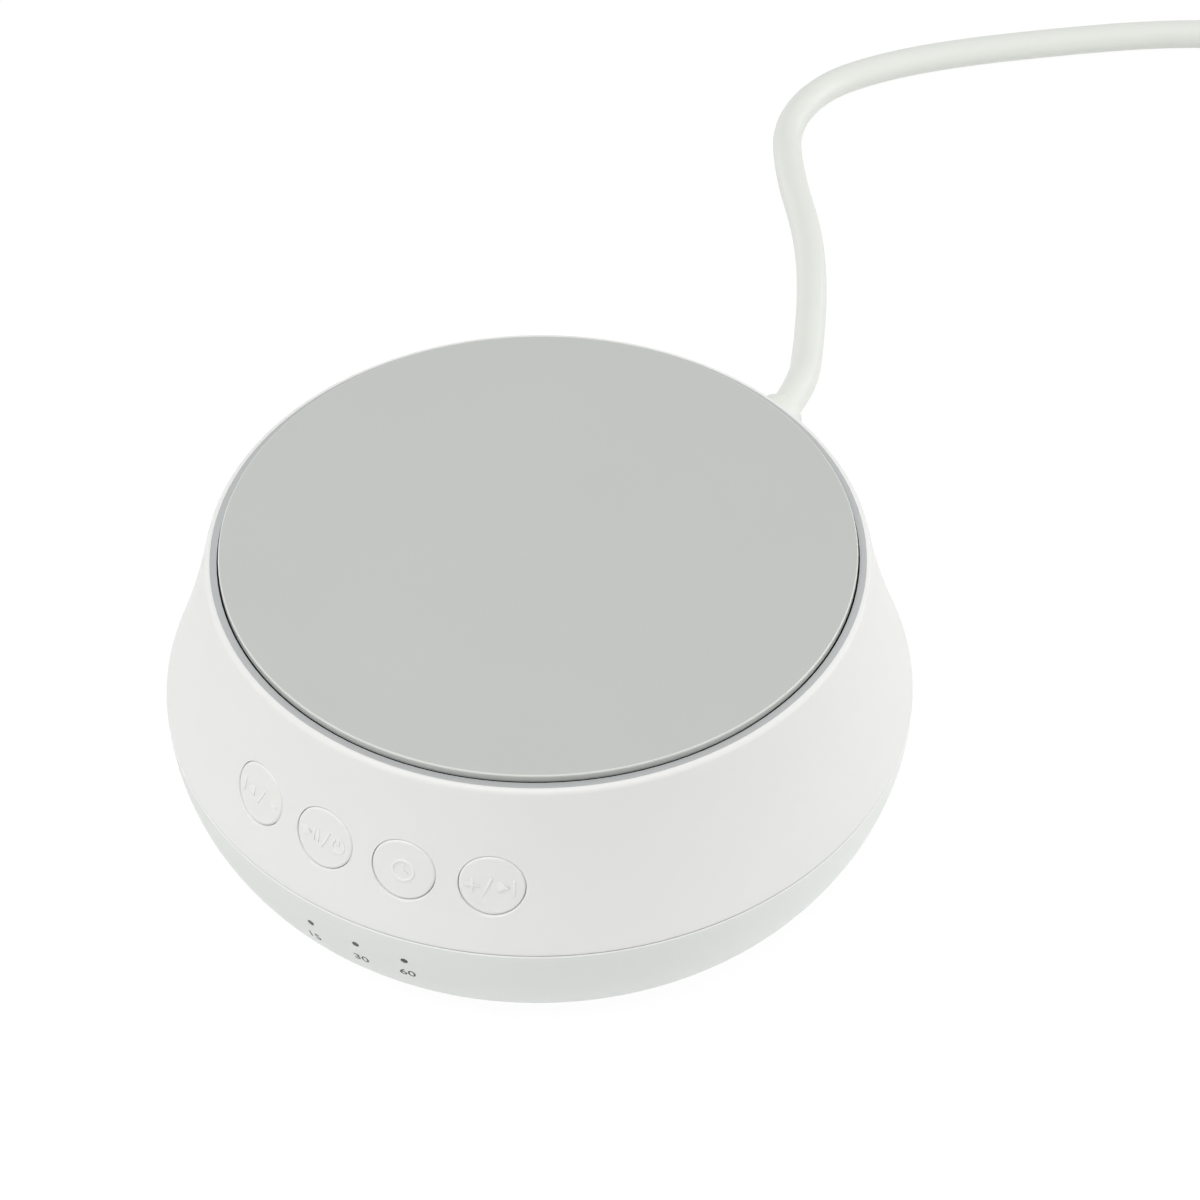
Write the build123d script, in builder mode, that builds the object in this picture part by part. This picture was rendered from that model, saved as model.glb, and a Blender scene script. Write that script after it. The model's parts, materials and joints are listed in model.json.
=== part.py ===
"""White noise sound machine, built as an assembly of its real pieces.

A low round housing of two moulded shells carries a flat grey top plate in a silver trim ring,
four push buttons over right-angle switches on a round board, three timer lamps with light pipes,
and a loudspeaker that fires down through a grille in the floor. A fixed USB lead leaves the back.

Millimetres. +Z is up, -Y is the front with the buttons, and the origin is on the table under
the middle of the body. Azimuths are in degrees from +X, anticlockwise seen from above.
"""

import os
from math import asin, cos, degrees, pi, radians, sin, sqrt, tan

from build123d import *

# ---- Skin of the body: tangent arcs in the (radius, height) plane --------------------------
TOP_Z = 44.0  # lip of the housing and face of the trim ring
BELLY_R = 52.8  # widest radius
BELLY_Z = 19.7  # height of the widest radius, just under the seam
BELLY_ROUND = 2.4  # small round over the belly
FLARE_ANGLE = 21.2  # lean of the upper wall where it meets the belly
FLARE_RADIUS = 151.0  # slight hollow of the upper wall
SIDE_RADIUS = 26.3  # side of the base below the belly
CORNER_RADIUS = 7.9  # round into the flat bottom
BASE_Z = 1.8  # underside of the base shell, above the table
WALL = 2.2
SKIN_CORE = 1.0  # inner features are trimmed this far inside the skin
SLACK = 0.01  # half width of the band in which edges at one height are picked

# ---- Seam ----------------------------------------------------------------------------------
SEAM_Z = 20.0  # lower edge of the upper shell
SEAM_GAP = 0.1
SEAM_UPPER_EDGE = 0.1  # rounding of the upper shell's edge at the seam
SEAM_LOWER_EDGE = 0.3  # rounding of the base shell's edge at the seam
TONGUE_HEIGHT = 1.7
TONGUE_THICK = 0.9
TONGUE_PLAY = 0.15
TONGUE_TOP_PLAY = 0.2

# ---- Top -----------------------------------------------------------------------------------
RING_R = 45.0  # outer radius of the trim ring
RING_FACE = 0.95  # width of its visible face
DECK_Z = 41.2  # seat of the trim ring and the plate
DECK_THICK = 2.2
RING_FLANGE = 0.8
RING_FLANGE_R = 39.0
LIP_ROUND = 0.75
PLATE_R = 43.8
PLATE_TOP = 45.05
PLATE_THICK = 1.8
PLATE_RIM = 1.8
PLATE_ROUND = 0.2
PEG_CIRCLE = 32.0  # heat stakes of the plate
PEG_R = 1.5
PEG_HEAD_R = 2.4
PEG_HEAD = 0.8
PEG_AZIMUTH = 22.5
PEG_PLAY = 0.1
PEG_RIB = 2.4  # width of the ring under the plate that carries the stakes

# ---- Buttons -------------------------------------------------------------------------------
FRONT = 270.0
BUTTON_PITCH = 13.96
BUTTON_Z = 29.65
BUTTON_R = 4.45  # radius as seen square on to the sloping wall
BUTTON_SLOPE = 16.9  # lean of the wall at the buttons
BUTTON_GAP = 0.08
BUTTON_EDGE = 0.35  # rounding of a cap's rim
BUTTON_HOLE_EDGE = 0.1  # rounding of the wall round a cap
BUTTON_LEAN = 1.3  # a cap's face leans out at its top, in degrees
BUTTON_FACE_R = 49.44  # radius of the wall at the middle of a cap
COLLAR_FACE = 44.6  # radius of the flat inner face of the button collars
COLLAR_R = 6.0
FLANGE_FACE = 44.4  # radius of the front of a cap's flange
FLANGE_THICK = 1.0
FLANGE_HALF = (4.9, 6.2)
STEM_R = 1.8
PLUNGER_R = 1.7
PLUNGER_TIP = 41.5  # radius where stem and plunger meet
PLUNGER_ROOT = 38.2
BUTTONS = ("button_minus", "button_play", "button_timer", "button_plus")

# ---- Main board and switches ---------------------------------------------------------------
BOARD_Z = 25.0
BOARD_THICK = 1.6
BOARD_R = 32.5
LOBE_R = 40.2
LOBE_HALF_ANGLE = 28.0
NOTCH = (9.0, 4.2)
BOARD_SCREW = (1.0, 1.9, 1.2, 8.0)  # shank radius, head radius, head height, length
BOARD_POST_R = 2.5
BOARD_SCREW_CIRCLE = 27.0
BOARD_SCREW_AZIMUTHS = (40.0, 140.0, 270.0)
SWITCH_FRONT = 39.5
SWITCH_BACK = 35.5
SWITCH_WIDTH = 7.0
SWITCH_HEIGHT = 5.8
SWITCH_BORE = (1.85, 2.2)

# ---- Case screws, bosses and feet ----------------------------------------------------------
CASE_CIRCLE = 36.5
CASE_AZIMUTH = 45.0
POST_R = 3.2
POST_FOOT = 19.5
BOSS_R = 3.8
BOSS_TOP = 19.3
CASE_SCREW = (1.3, 2.4, 1.6, 20.0)
CASE_HEAD_SEAT = 8.0
SCREW_PLAY = 0.03  # between a shank and the pilot hole it bites in
HOLE_PLAY = 0.2  # between a shank and the hole it passes
FOOT_R = 5.0
FOOT_RECESS = 0.8
FOOT_PLAY = 0.2
FOOT_CHAMFER = 0.5

# ---- Timer lamps ---------------------------------------------------------------------------
LAMP_Z = 15.0
LAMP_PITCH = 7.2
PIPE_R = 0.48
PIPE_PLAY = 0.05
PIPE_FLANGE = (1.2, 0.6)  # radius, thickness
PIPE_BACK_Y = -47.6
LED_BOARD = (21.6, 1.0, 7.6)
LED_BOARD_FRONT_Y = -46.6
LED_BOARD_LOW_Z = 10.6
LED_LAMP = (1.6, 0.8, 0.8)
LAMP_XS = (-LAMP_PITCH, 0, LAMP_PITCH)
BOARD_SLOT_PLAY = 0.1
RIB = (2.8, 3.4)
RIB_TOP_DROP = 1.5  # top of the ribs, below the top of the lamp board
RIB_X = 10.9
RIB_Y = -46.1

# ---- Loudspeaker ---------------------------------------------------------------------------
GRILLE_PITCH = 3.6
GRILLE_ROWS = 5  # rows of slots on each side of the middle row
GRILLE_SLOT = 1.8  # width of a slot
GRILLE_BAR = 3.0  # width of the bar that divides the rows
GRILLE_FIELD = 20.5  # radius of the slotted field
GASKET = 0.8
GASKET_INSET = 0.6
SPEAKER_R = 26.0
SPEAKER_OPEN_R = 22.8
SPEAKER_EAR_CIRCLE = 29.0
SPEAKER_EAR_WIDTH = 3.6
SPEAKER_SHEET = 0.8
BASKET_DEPTH = 10.4
BASKET_KNEE = 8.4  # height where the basket's wall turns inwards
BASKET_ARM = 5.0
WASHER_THICK = 2.0
MAGNET_R = 16.0
MAGNET_THICK = 4.4
YOKE_THICK = 1.2
POLE_R = 6.2
COIL_R = (6.55, 6.95)
CONE_R = 19.3
CONE_RIM_Z = 7.2
CONE_TIP_Z = 11.6
PAPER = 0.5  # thickness of the cone and the spider
SURROUND_THICK = 0.4
DUST_CAP_R = 11.0
SPEAKER_BOSS_R = 2.6
SPEAKER_SCREW = (1.1, 2.0, 1.4, 3.0)

# ---- Lead ----------------------------------------------------------------------------------
LEAD_D = 5.0
BOOT_TILT = 7.0  # downward lean of the strain relief
BOOT_END = (0.0, 81.1, 5.79)
BOOT_LENGTH = 30.6
BOOT_R = (4.7, 3.7)
BOOT_ROUND = 0.7
GLAND_FLANGE = (5.7, 1.6)  # radius, thickness
GLAND_PLAY = 0.1
GLAND_PAD = (6.9, 8.0)
GLAND_SEAT = 34.9  # inner face of the gland pad, measured back from the boot's end
STUB_END = 45.1  # inner end of the jacket, measured back from the boot's end
SADDLE = (17.2, 4.0)
SADDLE_Y = 40.4
SADDLE_TOP = 10.3
LEAD_PLAY = 0.05  # round the lead in the saddle and the clamp
CLAMP_SCREW_X = 6.2
CLAMP_SCREW = (1.1, 2.0, 1.3, 7.0)
CLAMP_PILOT = 5.2
CLAMP_GAP = 0.8
CLAMP_THICK = 3.2
CLAMP_ROUND = 1.0
WIRE_R = 0.65
WIRE_SPREAD = 0.9
WIRE_BEND = 2.0
WIRE_RISE_R = 30.2
WIRE_ENTRY = 2.5  # depth of a wire's end in its socket
WIRE_LIFT = 0.8
LEAD_AZIMUTH = 90.0
SPEAKER_WIRE_AZIMUTH = 180.0
TERMINAL_R = 25.6
TERMINAL_Z = 9.6
TERMINAL = (8.0, 6.0, 1.2)
SOCKET_BACK = 19.0
SOCKET_FACE = 25.5
SOCKET_WIDTH = 7.0
SOCKET_HEIGHT = 5.4
SOCKET_WALL = 0.8
SOCKET_DEPTH = 3.0
RIBBON = (6.0, 0.8)
RIBBON_Y = -38.5
RIBBON_RISE = 1.5  # height of the ribbon above the lamp board's lower edge
ROUTE = [
    BOOT_END,
    (-1.0, 91.0, 4.4),
    (-4.5, 100.5, 2.55),
    (-10.0, 114.5, 2.5),
    (-17.0, 128.0, 2.5),
    (-27.5, 141.5, 2.5),
    (-33.5, 154.0, 2.5),
    (-33.3, 167.2, 2.5),
    (-27.3, 179.0, 2.5),
    (-16.0, 188.0, 2.5),
    (-1.0, 199.5, 2.5),
    (14.5, 210.5, 2.5),
    (31.5, 219.0, 2.6),
    (48.5, 224.0, 3.0),
    (64.4, 226.0, 3.1),
]
COIL_CENTRE = (70.0, 194.0)
COIL_MID_R = 27.5
COIL_LAYERS = (3, 2)  # turns side by side in the bottom and the top layer
TAIL = [
    (100.0, 194.0, 7.43),
    (100.0, 182.0, 8.4),
    (100.4, 171.0, 6.4),
    (99.6, 160.0, 3.4),
    (98.6, 149.0, 4.0),
]
PLUG_NECK = 7.0
PLUG_NECK_R = (3.2, 3.7)
PLUG_NECK_OVER = 0.6  # the neck reaches this far over the lead
PLUG_BODY = (15.6, 22.0, 8.0)
PLUG_CORNER = 2.5
PLUG_EDGE = 0.8
PLUG_SHELL = (12.0, 18.8, 4.5)
PLUG_SHEET = 0.3
PLUG_WINDOW = (2.2, 5.6, 6.0)  # side, pitch across, distance from the body
PLUG_TONGUE = (10.8, 18.0, 1.84)
TIE_THICK = 0.6
TIE_WIDTH = 8.0
TIE_AZIMUTH = 200.0

os.makedirs("parts", exist_ok=True)


def save(piece, name):
    """Label a finished piece and write it as its own STEP."""
    piece.part.label = name
    export_step(piece.part, f"parts/{name}.step")


def body_face(inset=0.0):
    """Half section of the whole body, its skin drawn `inset` inside the outer one."""
    flare = radians(FLARE_ANGLE)
    belly_x = BELLY_R - BELLY_ROUND
    reach = BELLY_ROUND + FLARE_RADIUS
    flare_x = belly_x + reach * cos(flare)
    flare_z = BELLY_Z + reach * sin(flare)
    top_angle = degrees(asin((flare_z - TOP_Z) / (FLARE_RADIUS + inset)))
    side_x = BELLY_R - SIDE_RADIUS
    side_angle = asin((BELLY_Z - CORNER_RADIUS - BASE_Z) / (SIDE_RADIUS - CORNER_RADIUS))
    corner_x = side_x + (SIDE_RADIUS - CORNER_RADIUS) * cos(side_angle)
    corner_z = BASE_Z + CORNER_RADIUS
    with BuildSketch() as section:
        with BuildLine():
            wall = CenterArc(
                (flare_x, flare_z), FLARE_RADIUS + inset, 180 + top_angle, FLARE_ANGLE - top_angle
            )
            CenterArc((belly_x, BELLY_Z), BELLY_ROUND - inset, 0, FLARE_ANGLE)
            CenterArc((side_x, BELLY_Z), SIDE_RADIUS - inset, 0, -degrees(side_angle))
            corner = CenterArc(
                (corner_x, corner_z),
                CORNER_RADIUS - inset,
                -degrees(side_angle),
                degrees(side_angle) - 90,
            )
            Polyline(corner @ 1, (0, BASE_Z + inset), (0, TOP_Z), wall @ 0)
        make_face()
    return section.sketch


def body_band(inset, low, high):
    """The body's half section between two heights."""
    with BuildSketch() as band:
        add(body_face(inset))
        with Locations((0, low)):
            Rectangle(2 * BELLY_R, high - low, align=(Align.MIN, Align.MIN), mode=Mode.INTERSECT)
    return band.sketch


def widest_rim(rims, height):
    """The largest of the round edges at one height."""
    level = rims.filter_by(GeomType.CIRCLE).filter_by_position(Axis.Z, height - SLACK, height + SLACK)
    return level.sort_by(SortBy.RADIUS)[-1]


def radial_plane(azimuth, radius, height):
    """Plane square to the radius at an azimuth: local X tangential, local Y up."""
    a = radians(azimuth)
    return Plane(
        origin=(radius * cos(a), radius * sin(a), height),
        x_dir=(-sin(a), cos(a), 0),
        z_dir=(cos(a), sin(a), 0),
    )


def lead_plane(back):
    """Plane square to the boot's axis, `back` millimetres in from the boot's outer end."""
    tilt = radians(BOOT_TILT)
    origin = (0, BOOT_END[1] - back * cos(tilt), BOOT_END[2] + back * sin(tilt))
    return Plane(origin=origin, x_dir=(1, 0, 0), z_dir=(0, cos(tilt), -sin(tilt)))


def screws(places, shank_r, head_r, head, length):
    """Identical pan-head screws, one per plane; a plane's origin is under the head."""
    with BuildPart() as group:
        for place in places:
            with BuildSketch(place):
                Circle(head_r)
            extrude(amount=-head)
            with BuildSketch(place):
                Circle(shank_r)
            extrude(amount=length)
    return group


def upward(radius, azimuth, height):
    """Horizontal plane that looks up, at a place given by radius and azimuth."""
    a = radians(azimuth)
    return Plane(origin=(radius * cos(a), radius * sin(a), height))


def downward(radius, azimuth, height):
    """Horizontal plane that looks down, at a place given by radius and azimuth."""
    a = radians(azimuth)
    return Plane(origin=(radius * cos(a), radius * sin(a), height), x_dir=(1, 0, 0), z_dir=(0, 0, -1))


BUTTON_AZIMUTHS = [FRONT + (i - 1.5) * BUTTON_PITCH for i in range(4)]
BUTTON_HALF = (BUTTON_R, BUTTON_R * cos(radians(BUTTON_SLOPE)))
CASE_AZIMUTHS = [CASE_AZIMUTH + 90 * i for i in range(4)]
FLOOR_Z = BASE_Z + WALL
BOARD_TOP = BOARD_Z + BOARD_THICK
DECK_UNDER = DECK_Z - DECK_THICK

# ---- Trimming bodies -----------------------------------------------------------------------
with BuildPart() as body_core:
    with BuildSketch(Plane.XZ):
        add(body_face(SKIN_CORE))
    revolve(axis=Axis.Z)

with BuildPart() as whole_skin:
    with BuildSketch(Plane.XZ):
        add(body_face())
    revolve(axis=Axis.Z)

# ---- Upper shell ---------------------------------------------------------------------------
with BuildPart() as button_collars:
    for azimuth in BUTTON_AZIMUTHS:
        with BuildSketch(radial_plane(azimuth, COLLAR_FACE, BUTTON_Z)):
            Circle(COLLAR_R)
        extrude(amount=BELLY_R - COLLAR_FACE)
    add(body_core.part, mode=Mode.INTERSECT)

with BuildPart() as upper_shell:
    with BuildSketch(Plane.XZ):
        add(body_band(0, SEAM_Z, TOP_Z))
        add(body_band(WALL, 0, DECK_UNDER), mode=Mode.SUBTRACT)
        with Locations((0, DECK_Z)):
            Rectangle(RING_R, TOP_Z, align=(Align.MIN, Align.MIN), mode=Mode.SUBTRACT)
        rebate = WALL - TONGUE_THICK - TONGUE_PLAY
        add(body_band(rebate, SEAM_Z, SEAM_Z + TONGUE_HEIGHT), mode=Mode.SUBTRACT)
    revolve(axis=Axis.Z)
    fillet(widest_rim(edges(), TOP_Z), LIP_ROUND)
    fillet(widest_rim(edges(), SEAM_Z), SEAM_UPPER_EDGE)
    add(button_collars.part)
    for azimuth in BUTTON_AZIMUTHS:
        with BuildSketch(radial_plane(azimuth, BELLY_R, BUTTON_Z)):
            Ellipse(BUTTON_HALF[0] + BUTTON_GAP, BUTTON_HALF[1] + BUTTON_GAP)
        extrude(amount=PLUNGER_TIP - BELLY_R, mode=Mode.SUBTRACT)
    skin = faces().filter_by(GeomType.TORUS).sort_by(SortBy.AREA)[-1]
    fillet([edge for hole in skin.inner_wires() for edge in hole.edges()], BUTTON_HOLE_EDGE)
    # Screw posts for the case and for the board hang from the deck.
    with BuildSketch(Plane.XY.offset(POST_FOOT)):
        with PolarLocations(CASE_CIRCLE, 4, CASE_AZIMUTH):
            Circle(POST_R)
    extrude(amount=DECK_UNDER - POST_FOOT)
    with BuildSketch(Plane.XY.offset(POST_FOOT)):
        with PolarLocations(CASE_CIRCLE, 4, CASE_AZIMUTH):
            Circle(CASE_SCREW[0] + SCREW_PLAY)
    extrude(amount=CASE_SCREW[3] - POST_FOOT + CASE_HEAD_SEAT + 1, mode=Mode.SUBTRACT)
    for azimuth in BOARD_SCREW_AZIMUTHS:
        with BuildSketch(upward(BOARD_SCREW_CIRCLE, azimuth, BOARD_TOP)):
            Circle(BOARD_POST_R)
            Circle(BOARD_SCREW[0] + SCREW_PLAY, mode=Mode.SUBTRACT)
        extrude(amount=DECK_UNDER - BOARD_TOP)
    # Holes in the deck for the plate's stakes.
    with BuildSketch(Plane.XY.offset(DECK_UNDER)):
        with PolarLocations(PEG_CIRCLE, 4, PEG_AZIMUTH):
            Circle(PEG_R + PEG_PLAY)
    extrude(amount=DECK_THICK, mode=Mode.SUBTRACT)
save(upper_shell, "upper_shell")

# ---- Trim ring and top plate ---------------------------------------------------------------
with BuildPart() as trim_ring:
    with BuildSketch(Plane.XZ):
        with Locations((RING_R - RING_FACE, DECK_Z)):
            Rectangle(RING_FACE, TOP_Z - DECK_Z, align=(Align.MIN, Align.MIN))
        with Locations((RING_FLANGE_R, DECK_Z)):
            Rectangle(RING_R - RING_FLANGE_R, RING_FLANGE, align=(Align.MIN, Align.MIN))
    revolve(axis=Axis.Z)
save(trim_ring, "trim_ring")

PLATE_FOOT = DECK_Z + RING_FLANGE
with BuildPart() as top_plate:
    with BuildSketch(Plane.XZ):
        with Locations((0, PLATE_TOP)):
            Rectangle(PLATE_R, PLATE_THICK, align=(Align.MIN, Align.MAX))
        with Locations((PLATE_R, PLATE_TOP)):
            Rectangle(PLATE_RIM, PLATE_TOP - PLATE_FOOT, align=(Align.MAX, Align.MAX))
        with Locations((PEG_CIRCLE, PLATE_TOP)):
            Rectangle(PEG_RIB, PLATE_TOP - DECK_Z, align=(Align.CENTER, Align.MAX))
    revolve(axis=Axis.Z)
    fillet(edges().group_by(Axis.Z)[-1], PLATE_ROUND)
    with BuildSketch(Plane.XY.offset(DECK_UNDER)):
        with PolarLocations(PEG_CIRCLE, 4, PEG_AZIMUTH):
            Circle(PEG_R)
    extrude(amount=DECK_THICK)
    with BuildSketch(Plane.XY.offset(DECK_UNDER - PEG_HEAD)):
        with PolarLocations(PEG_CIRCLE, 4, PEG_AZIMUTH):
            Circle(PEG_HEAD_R)
    extrude(amount=PEG_HEAD)
save(top_plate, "top_plate")

# ---- Buttons and their plungers ------------------------------------------------------------
for name, azimuth in zip(BUTTONS, BUTTON_AZIMUTHS):
    with BuildPart() as cap:
        with BuildSketch(radial_plane(azimuth, FLANGE_FACE, BUTTON_Z)):
            Ellipse(*BUTTON_HALF)
        extrude(amount=BELLY_R - FLANGE_FACE)
        face_middle = radial_plane(azimuth, BUTTON_FACE_R, BUTTON_Z)
        lean = Axis(face_middle.origin, face_middle.x_dir)
        add(whole_skin.part.rotate(lean, BUTTON_LEAN), mode=Mode.INTERSECT)
        outward = Axis((0, 0, BUTTON_Z), (cos(radians(azimuth)), sin(radians(azimuth)), 0))
        fillet(faces().sort_by(outward)[-1].edges(), BUTTON_EDGE)
        with BuildSketch(radial_plane(azimuth, FLANGE_FACE, BUTTON_Z)):
            Ellipse(*FLANGE_HALF)
        extrude(amount=-FLANGE_THICK)
        with BuildSketch(radial_plane(azimuth, PLUNGER_TIP, BUTTON_Z)):
            Circle(STEM_R)
        extrude(amount=FLANGE_FACE - FLANGE_THICK - PLUNGER_TIP)
    save(cap, name)
    with BuildPart() as plunger:
        with BuildSketch(radial_plane(azimuth, PLUNGER_ROOT, BUTTON_Z)):
            Circle(PLUNGER_R)
        extrude(amount=PLUNGER_TIP - PLUNGER_ROOT)
    save(plunger, name.replace("button", "plunger"))

# ---- Base shell ----------------------------------------------------------------------------
with BuildPart() as inner_features:
    # Slotted ribs that hold the lamp board upright.
    with BuildSketch(Plane.XY.offset(BASE_Z)):
        with Locations((-RIB_X, RIB_Y), (RIB_X, RIB_Y)):
            Rectangle(*RIB)
    extrude(amount=LED_BOARD_LOW_Z + LED_BOARD[2] - RIB_TOP_DROP - BASE_Z)
    # Saddle under the lead and flat pad behind the gland.
    with BuildSketch(Plane.XY.offset(BASE_Z)):
        with Locations((0, SADDLE_Y)):
            Rectangle(*SADDLE)
    extrude(amount=SADDLE_TOP - BASE_Z)
    with BuildSketch(lead_plane(GLAND_SEAT)):
        Circle(GLAND_PAD[0])
    extrude(amount=GLAND_PAD[1])
    add(body_core.part, mode=Mode.INTERSECT)

with BuildPart() as base_shell:
    with BuildSketch(Plane.XZ):
        add(body_band(0, 0, SEAM_Z - SEAM_GAP))
        add(body_band(WALL, 0, TOP_Z), mode=Mode.SUBTRACT)
        add(body_band(WALL - TONGUE_THICK, SEAM_Z - SEAM_GAP - 1, SEAM_Z + TONGUE_HEIGHT - TONGUE_TOP_PLAY))
        add(body_band(WALL, FLOOR_Z, SEAM_Z + TONGUE_HEIGHT), mode=Mode.SUBTRACT)
    revolve(axis=Axis.Z)
    fillet(widest_rim(edges(), SEAM_Z - SEAM_GAP), SEAM_LOWER_EDGE)
    add(inner_features.part)
    # Bosses for the case screws and pads for the speaker screws.
    with BuildSketch(Plane.XY.offset(BASE_Z)):
        with PolarLocations(CASE_CIRCLE, 4, CASE_AZIMUTH):
            Circle(BOSS_R)
    extrude(amount=BOSS_TOP - BASE_Z)
    with BuildSketch(Plane.XY.offset(BASE_Z)):
        with PolarLocations(SPEAKER_EAR_CIRCLE, 4, CASE_AZIMUTH):
            Circle(SPEAKER_BOSS_R)
    extrude(amount=FLOOR_Z + GASKET - BASE_Z)
    # Foot recesses, head counterbores and screw holes, from below.
    for radius, low, high in (
        (FOOT_R + FOOT_PLAY, 0, BASE_Z + FOOT_RECESS),
        (CASE_SCREW[1] + FOOT_PLAY, 0, CASE_HEAD_SEAT),
        (CASE_SCREW[0] + FOOT_PLAY, 0, BOSS_TOP),
    ):
        with BuildSketch(Plane.XY.offset(low)):
            with PolarLocations(CASE_CIRCLE, 4, CASE_AZIMUTH):
                Circle(radius)
        extrude(amount=high - low, mode=Mode.SUBTRACT)
    with BuildSketch(Plane.XY.offset(BASE_Z + FOOT_RECESS)):
        with PolarLocations(SPEAKER_EAR_CIRCLE, 4, CASE_AZIMUTH):
            Circle(SPEAKER_SCREW[0] + SCREW_PLAY)
    extrude(amount=FLOOR_Z + GASKET, mode=Mode.SUBTRACT)
    # Speaker grille: rows of slots that fill a round field on both sides of a bar.
    with BuildSketch(Plane.XY.offset(BASE_Z)):
        for row in range(-GRILLE_ROWS, GRILLE_ROWS + 1):
            y = row * GRILLE_PITCH
            near = GRILLE_BAR / 2
            far = sqrt(GRILLE_FIELD**2 - y**2)
            with Locations((-(near + far) / 2, y), ((near + far) / 2, y)):
                SlotOverall(far - near, GRILLE_SLOT)
    extrude(amount=WALL, mode=Mode.SUBTRACT)
    # Holes for the light pipes, slots for the lamp board, groove and holes for the lead.
    with BuildSketch(Plane.XZ.offset(-LED_BOARD_FRONT_Y)):
        with Locations(*[(x, LAMP_Z) for x in LAMP_XS]):
            Circle(PIPE_R + PIPE_PLAY)
    extrude(amount=BELLY_R + LED_BOARD_FRONT_Y, mode=Mode.SUBTRACT)
    with BuildSketch(Plane.XY.offset(LED_BOARD_LOW_Z - BOARD_SLOT_PLAY)):
        with Locations((0, LED_BOARD_FRONT_Y + LED_BOARD[1] / 2)):
            Rectangle(LED_BOARD[0] + 2 * BOARD_SLOT_PLAY, LED_BOARD[1] + BOARD_SLOT_PLAY)
    extrude(amount=LED_BOARD[2] + 1, mode=Mode.SUBTRACT)
    with BuildSketch(lead_plane(GLAND_SEAT)):
        Circle(BOOT_R[0] + GLAND_PLAY)
    extrude(amount=BOOT_LENGTH / 3, mode=Mode.SUBTRACT)
    with BuildSketch(lead_plane(GLAND_SEAT)):
        Circle(GLAND_FLANGE[0] + GLAND_PLAY)
    extrude(amount=-2 * GLAND_FLANGE[1], mode=Mode.SUBTRACT)
    with BuildSketch(lead_plane(STUB_END + 1)):
        Circle(LEAD_D / 2 + LEAD_PLAY)
    extrude(amount=STUB_END - GLAND_SEAT, mode=Mode.SUBTRACT)
    with BuildSketch(Plane.XY.offset(SADDLE_TOP)):
        with Locations((-CLAMP_SCREW_X, SADDLE_Y), (CLAMP_SCREW_X, SADDLE_Y)):
            Circle(CLAMP_SCREW[0] + SCREW_PLAY)
    extrude(amount=-CLAMP_PILOT, mode=Mode.SUBTRACT)
save(base_shell, "base_shell")

with BuildPart() as rubber_feet:
    with BuildSketch(Plane.XY):
        with PolarLocations(CASE_CIRCLE, 4, CASE_AZIMUTH):
            Circle(FOOT_R)
    extrude(amount=BASE_Z + FOOT_RECESS)
    chamfer(edges().group_by(Axis.Z)[0], FOOT_CHAMFER)
save(rubber_feet, "rubber_feet")

# ---- Timer lamps ---------------------------------------------------------------------------
for name, x in zip(("light_pipe_15", "light_pipe_30", "light_pipe_60"), LAMP_XS):
    with BuildPart() as light_pipe:
        with BuildSketch(Plane.XZ.offset(-PIPE_BACK_Y)):
            with Locations((x, LAMP_Z)):
                Circle(PIPE_R)
        extrude(amount=BELLY_R + PIPE_BACK_Y)
        add(whole_skin.part, mode=Mode.INTERSECT)
        with BuildSketch(Plane.XZ.offset(PIPE_FLANGE[1] - PIPE_BACK_Y)):
            with Locations((x, LAMP_Z)):
                Circle(PIPE_FLANGE[0])
        extrude(amount=PIPE_FLANGE[1])
    save(light_pipe, name)

with BuildPart() as led_board:
    with BuildSketch(Plane.XY.offset(LED_BOARD_LOW_Z)):
        with Locations((0, LED_BOARD_FRONT_Y + LED_BOARD[1] / 2)):
            Rectangle(LED_BOARD[0], LED_BOARD[1])
    extrude(amount=LED_BOARD[2])
save(led_board, "led_board")

with BuildPart() as led_lamps:
    with BuildSketch(Plane.XZ.offset(-LED_BOARD_FRONT_Y)):
        with Locations(*[(x, LAMP_Z) for x in LAMP_XS]):
            Rectangle(LED_LAMP[0], LED_LAMP[2])
    extrude(amount=LED_LAMP[1])
save(led_lamps, "led_lamps")

# ---- Loudspeaker, facing down --------------------------------------------------------------
SPEAKER_Z = FLOOR_Z + GASKET
BASKET_TOP = SPEAKER_Z + BASKET_DEPTH
WASHER_TOP = BASKET_TOP + SPEAKER_SHEET + WASHER_THICK
MAGNET_TOP = WASHER_TOP + MAGNET_THICK

with BuildPart() as speaker_gasket:
    with BuildSketch(Plane.XY.offset(FLOOR_Z)):
        Circle(SPEAKER_R - GASKET_INSET)
        Circle(SPEAKER_OPEN_R, mode=Mode.SUBTRACT)
    extrude(amount=GASKET)
save(speaker_gasket, "speaker_gasket")

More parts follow.
